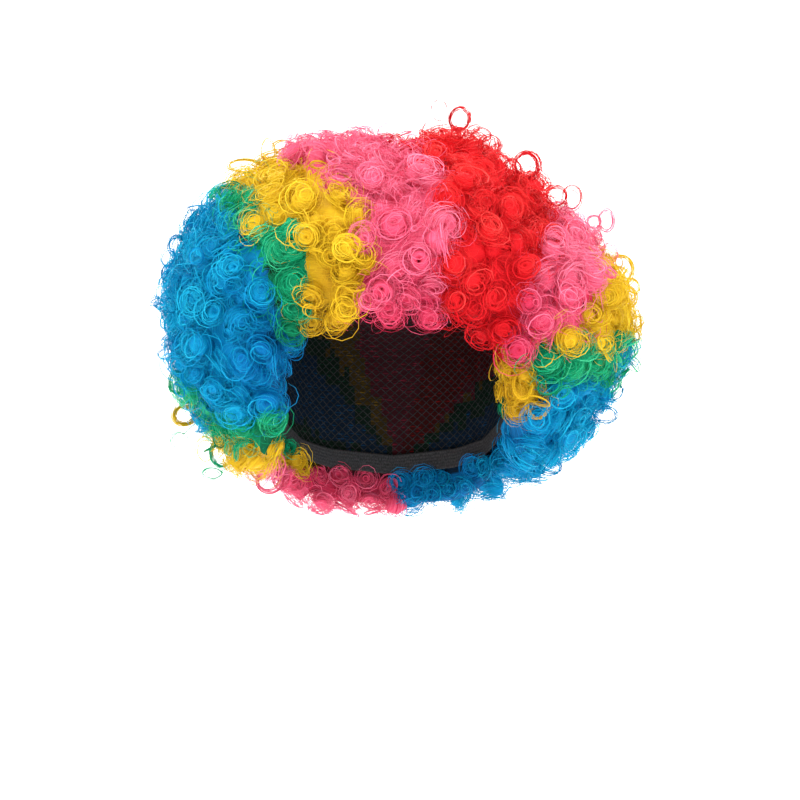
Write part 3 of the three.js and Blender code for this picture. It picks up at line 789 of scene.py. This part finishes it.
# Fine strands that stand off the band's ringlets
def flyaways_of(index):
    mine = np.flatnonzero(flyaway_band == index)
    size = len(mine)
    facing = unit(rng.normal(size=(size, 3)))
    radius = rng.uniform(*FLYAWAY_RADII, (size, 1))
    turns = rng.uniform(0.4, 1.2, (size, 1))
    width = rng.uniform(*FLYAWAY_WIDTHS, (size, 1))
    # Painted shade: flyaways drawn darker than the hair round them, with random tone
    shade_shift = rng.normal(-0.15, 0.15, (size, 1))
    region = REGIONS["flyaways"]
    points = flyaway_point[mine]
    return arcs(points, facing, radius, turns, FLYAWAY_STEPS, width, shade_shift, region)


# Open rings: for each its band, the place that it grows from, its middle, the two half axes of its
# ring, and its number of strands. First those that the camera sees, then springs all over the hair.
def open_rings():
    names = [band for band, _, _ in BANDS]
    rows = []
    roots = seen_at(np.array([ring[1:3] for ring in RINGS], float), picked_row < INSIDE_START)
    for (band, across, up, half_width, half_height, strands), number in zip(RINGS, roots):
        root, normal = candidate[number], candidate_normal[number]
        away = math.dist((across, up), candidate_seen[number])
        over_hair = max(0, -normal[1]) * (UNDER_DEPTH + 2)
        depth = root[1] - (RING_FORWARD if away > half_width else over_hair)
        middle = behind(across, up, depth)
        tilt = rng.normal(0, 0.35, 2)
        half_a = unit(np.array([1, tilt[0], 0])) * half_width
        half_b = unit(np.array([0, tilt[1], 1])) * half_height
        strands *= RING_DENSITY
        rows.append((names.index(band), root + normal * 4, middle, half_a, half_b, strands))
    for number in outer[FLYAWAYS : FLYAWAYS + SPRINGS]:
        root, normal = candidate[number], candidate_normal[number]
        radius = rng.uniform(*SPRING_RADII)
        along = unit(np.cross(normal, rng.normal(size=3)))
        middle = root + normal * rng.uniform(*SPRING_RISE) + along * rng.uniform(-4, 4)
        half_a = unit(along + 0.4 * rng.normal(size=3)) * radius
        half_b = unit(np.cross(half_a, rng.normal(size=3)) + normal * radius) * radius
        half_b *= rng.uniform(0.6, 1)
        band = int(band_of(root[None])[0])
        rows.append((band, root + normal * 3, middle, half_a, half_b, SPRING_STRANDS))
    return rows


rings = open_rings()


# The strands of a band's open rings: each leaves the hair and runs about once round its ring
def rings_of(index):
    mine = [ring for ring in rings if ring[0] == index]
    strands = np.array([ring[5] for ring in mine])
    root, middle, half_a, half_b = (
        np.repeat(np.array([ring[column] for ring in mine]), strands, axis=0)
        for column in range(1, 5)
    )
    size = len(root)
    step = np.linspace(0, 1, RING_STEPS)
    round_ring = np.clip((step - RING_OUT) / (1 - RING_OUT), 0, 1)
    toward = root - middle
    start = np.arctan2(
        (toward * unit(half_b)).sum(1, keepdims=True), (toward * unit(half_a)).sum(1, keepdims=True)
    )
    turns = rng.uniform(0.9, 1.5, (size, 1)) * rng.choice([-1, 1], (size, 1))
    angle = start + TURN * turns * round_ring + rng.normal(0, 0.25, (size, 1))
    grow = 1 + rng.normal(0, 0.11, (size, 1)) + rng.normal(0, 0.1, (size, 1)) * round_ring
    facing = unit(np.cross(half_a, half_b))[:, None]
    ring = middle[:, None] + (
        (grow * np.cos(angle))[..., None] * half_a[:, None]
        + (grow * np.sin(angle))[..., None] * half_b[:, None]
        + facing * (rng.normal(0, 1.2, (size, 1)) * round_ring)[..., None]
        + rng.normal(0, 0.35, (size, 1, 3))
    )
    leaving = smoothstep(step, 0.0, RING_OUT)[:, None]
    paths = root[:, None] + (ring - root[:, None]) * leaving
    along = unit(np.gradient(paths, axis=1))
    turn = rng.uniform(0, TURN, (size, 1, 1))
    side = unit(np.cross(along, facing))
    across = side * np.cos(turn) + facing * np.sin(turn)
    # Painted shade by depth, and the ring drawn darker than the hair as painted shade on the same fibre
    shade = depth_shade(paths) + RING_SHADES[BANDS[index][1]] * round_ring
    shade += rng.normal(0, 0.12, (size, 1))
    taper = np.sqrt(np.sin(math.pi * (0.12 + 0.86 * step)))
    width = rng.uniform(*RING_WIDTHS, (size, 1)) * taper
    return ribbons(paths, across, width, shade, REGIONS["rings"])


# The band's share of the underlayer, with triangles round its poles
def under_of(index, cell_band):
    corner = np.arange(GRID_ROWS * UNDER_COLUMNS).reshape(GRID_ROWS, UNDER_COLUMNS)
    corner[0], corner[-1] = corner[0, 0], corner[-1, 0]
    owned = np.flatnonzero(cell_band == index)
    points = grid.reshape(-1, 3)
    bumps = np.sin(points / BUMP_SIZES + np.array([0, 1, 0])).prod(1)
    bumps[UNDER_COLUMNS * UNDER_ROWS :] = 0
    faces = []
    low = cells[owned].min(0)
    span = np.ptp(cells[owned], axis=0) + 1
    for rows in ((0, 1), (1, GRID_ROWS - 2), (GRID_ROWS - 2, GRID_ROWS - 1)):
        mine = cells[owned[(cells[owned, 0] >= rows[0]) & (cells[owned, 0] < rows[1])]]
        if not len(mine):
            continue
        row, column = mine.T
        beside = (column + 1) % UNDER_COLUMNS
        sides = [(row, column), (row + 1, column), (row + 1, beside), (row, beside)]
        corners = np.stack([corner[side] for side in sides], -1)
        corner_u = np.stack([column, column, column + 1, column + 1], -1)
        corner_v = np.stack([row, row + 1, row + 1, row], -1)
        if rows[1] == 1:
            corners, corner_u, corner_v = (field[:, :3] for field in (corners, corner_u, corner_v))
        if rows[1] == GRID_ROWS - 1:
            corners, corner_u, corner_v = (
                field[:, [0, 1, 3]] for field in (corners, corner_u, corner_v)
            )
        bake = np.stack([(corner_u - low[1]) / span[1], (corner_v - low[0]) / span[0]], -1)
        fibre = np.stack([corner_u / 4.0, corner_v / 4.0], -1)
        faces.append((corners, in_region(bake, REGIONS["under"]), fibre))
    all_corners = np.concatenate([corners.ravel() for corners, _, _ in faces])
    used, inverse = np.unique(all_corners, return_inverse=True)
    renumbered, start = [], 0
    for corners, bake, fibre in faces:
        numbers = inverse[start : start + corners.size].reshape(corners.shape)
        renumbered.append((numbers, bake, fibre))
        start += corners.size
    points = points[used] + outwards.reshape(-1, 3)[used] * BUMP_HEIGHT * bumps[used][:, None]
    # Painted shade by depth and the cores' painted shade, with painted light on the bumps' tops and
    # painted shade in their dips
    shade = depth_shade(points) + CORE_SHADE + BUMP_SHADE * bumps[used]
    shade = np.maximum(shade, UNDER_SHADE)
    # Painted shade: the rim and the inside are drawn dark
    shade = np.where(used >= UNDER_ROWS * UNDER_COLUMNS, RIM_SHADE, shade)
    # Painted near black in the gaps, for the dark net and as painted shade deep between the ringlets
    in_front = normals.reshape(-1, 3)[used, 1] < FACING_FRONT
    in_front &= used < INSIDE_START * UNDER_COLUMNS
    shade += (NET_SHADE - shade) * net_and_shade_gap(as_seen(points), in_front)
    # Painted shade: behind the net the underlayer is drawn near black
    shade = np.where(used >= NET_START * UNDER_COLUMNS, NET_SHADE, shade)
    return {"points": points, "shade": shade, "faces": renumbered}


# The net cap: threads that zigzag down the cap, in zones with more of them as it widens
def net():
    parts = []
    for zone, (top, foot, columns) in enumerate(NET_ZONES):
        rows = round((foot - top) * NET_REACH / NET_CELL)
        row = np.arange(rows + 1)
        for family in (0, 1):
            aside = 0.5 * family + (0.25 - 0.5 * family) * (-1.0) ** row
            azimuth = ((np.arange(columns)[:, None] + aside) / columns * 2 - 1) * math.pi
            arc = (cap_edge(azimuth) - 1) * (top + (foot - top) * row / rows)
            paths = wall_points(azimuth, arc, CAP_WALL * (0.5 + 0.2 * family))
            normal = unit(wall_points(azimuth, arc, CAP_WALL + 1) - wall_points(azimuth, arc, 0.0))
            across = unit(np.cross(unit(np.gradient(paths, axis=1)), normal))
            low = (zone + 0.5 * family) / len(NET_ZONES)
            region = (0.0, low, 1.0, low + 0.45 / len(NET_ZONES))
            parts.append(ribbons(paths, across, NET_THREAD, 0.5, region))
    return parts


# The elastic at the cap's edge: a strip with a round rib along each woven line
def elastic():
    azimuth = (np.arange(ELASTIC_COLUMNS) / ELASTIC_COLUMNS * 2 - 1) * math.pi
    edge = cap_edge(azimuth)
    share = np.linspace(0, 1, ELASTIC_RIBS * 4 + 1)
    rib = np.abs(np.sin(share * math.pi * ELASTIC_RIBS)) * RIB_HEIGHT
    profile = [(s, -GAP - r * 0.3) for s, r in zip(share, rib)]
    profile += [(s, -GAP - BAND_WALL + RIB_HEIGHT - r) for s, r in zip(share[::-1], rib[::-1])]
    rows = np.array(
        [
            wall_points(azimuth, edge - BAND_WIDTH * (1 - s), np.full_like(edge, offset))
            for s, offset in profile
        ]
    )
    rows = np.concatenate([rows, rows[:1]])
    quads, uv = wrapped_grid(len(rows), ELASTIC_COLUMNS)
    last = len(rows) - 1
    quads = np.where(quads >= last * ELASTIC_COLUMNS, quads - last * ELASTIC_COLUMNS, quads)
    points = rows[:-1]
    bake = in_region(uv, (0.005, 0.005, 0.995, 0.995))
    shade = np.full(points.shape[:2], 0.5)
    return [{"points": points, "shade": shade, "faces": [(quads, bake, uv)]}]


def node_tree(name):
    material = bpy.data.materials.new(name)
    material.use_nodes = True
    nodes = material.node_tree.nodes
    return material, nodes, material.node_tree.links, nodes["Principled BSDF"]


# A noise stretched along the fibres, in steps along and across them
def stretched_noise(nodes, links, steps, detail):
    lines = nodes.new("ShaderNodeUVMap")
    lines.uv_map = "Fibre"
    stretch = nodes.new("ShaderNodeMapping")
    stretch.inputs["Scale"].default_value = (*steps, 1.0)
    noise = nodes.new("ShaderNodeTexNoise")
    noise.inputs["Scale"].default_value = 1.0
    noise.inputs["Detail"].default_value = detail
    links.new(lines.outputs["UV"], stretch.inputs["Vector"])
    links.new(stretch.outputs["Vector"], noise.inputs["Vector"])
    return noise


# A number mapped to another range
def mapped(nodes, links, source, low, high, new_low, new_high):
    change = nodes.new("ShaderNodeMapRange")
    limits = {"From Min": low, "From Max": high, "To Min": new_low, "To Max": new_high}
    for name, value in limits.items():
        change.inputs[name].default_value = value
    links.new(source, change.inputs["Value"])
    return change.outputs["Result"]


def ramp_of(nodes, links, source, stops):
    ramp = nodes.new("ShaderNodeValToRGB")
    for element, (position, colour) in zip(ramp.color_ramp.elements, (stops[0], stops[-1])):
        element.position, element.color = position, (*colour, 1)
    for position, colour in stops[1:-1]:
        ramp.color_ramp.elements.new(position).color = (*colour, 1)
    links.new(source, ramp.inputs["Fac"])
    return ramp.outputs["Color"]


def bumped(nodes, links, shader, height, strength, distance):
    bump = nodes.new("ShaderNodeBump")
    bump.inputs["Strength"].default_value = strength
    bump.inputs["Distance"].default_value = distance
    links.new(height, bump.inputs["Height"])
    links.new(bump.outputs["Normal"], shader.inputs["Normal"])


# Fibre in one colour: painted shade and light from the Shade attribute, darker deep in the hair, and
# streaked along its locks
def fibre_material(colour):
    dark, middle, light, average = COLOURS[colour]
    material, nodes, links, shader = node_tree(f"{colour}_fibre")
    shader.inputs["Base Color"].default_value = (*average, 1)
    shader.inputs["Roughness"].default_value = 0.6
    shader.inputs["Specular IOR Level"].default_value = 0.1
    shade = nodes.new("ShaderNodeAttribute")
    shade.attribute_name = "Shade"
    noise = stretched_noise(nodes, links, (1.8, 26.0), 3.0)
    total = nodes.new("ShaderNodeMath")
    total.operation = "ADD"
    links.new(shade.outputs["Fac"], total.inputs[0])
    streaks = mapped(nodes, links, noise.outputs["Fac"], 0.3, 0.7, -STREAKS, STREAKS)
    links.new(streaks, total.inputs[1])
    # The deepest painted shade keeps a share of the dark colour
    deep = tuple(DEEPEST * channel for channel in dark)
    stops = [(0.1, deep), (0.38, dark), (0.5, dark), (0.75, middle), (1.0, light)]
    tone = mapped(nodes, links, total.outputs["Value"], -1, 1, 0, 1)
    links.new(ramp_of(nodes, links, tone, stops), shader.inputs["Base Color"])
    bumped(nodes, links, shader, noise.outputs["Fac"], 0.5, 0.0006)
    return material


# Woven yarn, in dark grey or black: ribs across its length and stray fibres
def woven_material(name, dark, light, steps, bump_depth):
    material, nodes, links, shader = node_tree(name)
    shader.inputs["Base Color"].default_value = (*dark, 1)
    shader.inputs["Roughness"].default_value = 0.75
    shader.inputs["Specular IOR Level"].default_value = 0.3
    noise = stretched_noise(nodes, links, steps, 2.0)
    stops = [(0.35, dark), (0.7, light)]
    links.new(ramp_of(nodes, links, noise.outputs["Fac"], stops), shader.inputs["Base Color"])
    bumped(nodes, links, shader, noise.outputs["Fac"], 0.6, bump_depth)
    return material


# A piece that hides a node of the part, attached to the root, in the material that it is given
def finish_piece(name, parts, material, node):
    piece = make_mesh(name, parts, material)
    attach(piece, "root")
    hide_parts(node)


cell_centres = (grid[cells[:, 0], cells[:, 1]] + grid[cells[:, 0] + 1, next_column]) / 2
cell_band = band_of(cell_centres, rng.normal(0, 1.5, len(cells)) * (cells[:, 0] >= NET_START))
materials = {colour: fibre_material(colour) for colour in COLOURS}
for index, (band, colour, _) in enumerate(BANDS):
    mine = np.flatnonzero(place_band == index)
    parts = [under_of(index, cell_band), cores_of(mine), strands_of(mine)]
    parts += [fillers_of(index), flyaways_of(index), rings_of(index)]
    finish_piece(f"curls_{band}", parts, materials[colour], f"hair_{band}")

thread = woven_material(
    "net_thread", (0.006, 0.006, 0.007), (0.03, 0.03, 0.032), (60.0, 4.0), 0.0002
)
finish_piece("net_cap", net(), thread, "cap")
webbing = woven_material(
    "elastic", (0.008, 0.008, 0.009), (0.04, 0.04, 0.043), (900.0, 16.0), 0.0002
)
finish_piece("edge_elastic", elastic(), webbing, "edge_band")

# The camera looks level at the wig
camera = bpy.data.objects.new("camera", bpy.data.cameras.new("camera"))
camera.data.lens = LENS
camera.data.sensor_width = 36
camera.location = CAMERA * MM
camera.rotation_euler = (math.pi / 2, 0, 0)
bpy.context.scene.collection.objects.link(camera)
bpy.context.scene.camera = camera

# A pale sweep: its profile from front to back, as places along Y and up
SWEEP_WIDTH = 10
SWEEP_PROFILE = [(-4, -0.36), (0.7, -0.36), (1.1, -0.28), (1.35, -0.05), (1.45, 0.35), (1.5, 3.5)]
sweep = bpy.data.meshes.new("sweep")
sweep.from_pydata(
    [(x, y, z) for y, z in SWEEP_PROFILE for x in (-SWEEP_WIDTH / 2, SWEEP_WIDTH / 2)],
    [],
    [(2 * i, 2 * i + 1, 2 * i + 3, 2 * i + 2) for i in range(len(SWEEP_PROFILE) - 1)],
)
paper, _, _, paper_shader = node_tree("paper")
paper_shader.inputs["Base Color"].default_value = (0.92, 0.92, 0.92, 1)
paper_shader.inputs["Roughness"].default_value = 0.9
paper_shader.inputs["Emission Color"].default_value = (1, 1, 1, 1)
paper_shader.inputs["Emission Strength"].default_value = 0.22
sweep.materials.append(paper)
floor = bpy.data.objects.new("sweep", sweep)
bpy.context.scene.collection.objects.link(floor)

# Soft lamps: name, place, width and power, all aimed at the wig
AIM = np.array([0, 0, -0.08])
LAMPS = [
    ("key", (-1.4, -2.2, 1.5), 1.6, 60),
    ("fill", (1.9, -2.0, 0.4), 1.8, 40),
    ("top", (0.0, 0.3, 2.2), 1.5, 30),
    ("back", (0.0, 0.9, 1.4), 1.4, 20),
]
for name, place, width, power in LAMPS:
    lamp = bpy.data.lights.new(name, "AREA")
    lamp.size = width
    lamp.energy = power
    lamp_object = bpy.data.objects.new(name, lamp)
    lamp_object.location = place
    aim = AIM - np.array(place)
    lamp_object.rotation_euler = (
        math.acos(-aim[2] / np.linalg.norm(aim)),
        0,
        math.atan2(aim[1], aim[0]) - math.pi / 2,
    )
    bpy.context.scene.collection.objects.link(lamp_object)
world = bpy.data.worlds.new("studio")
world.use_nodes = True
world.node_tree.nodes["Background"].inputs["Color"].default_value = (1, 1, 1, 1)
world.node_tree.nodes["Background"].inputs["Strength"].default_value = 0.8
bpy.context.scene.world = world
bpy.context.scene.view_settings.view_transform = "Standard"
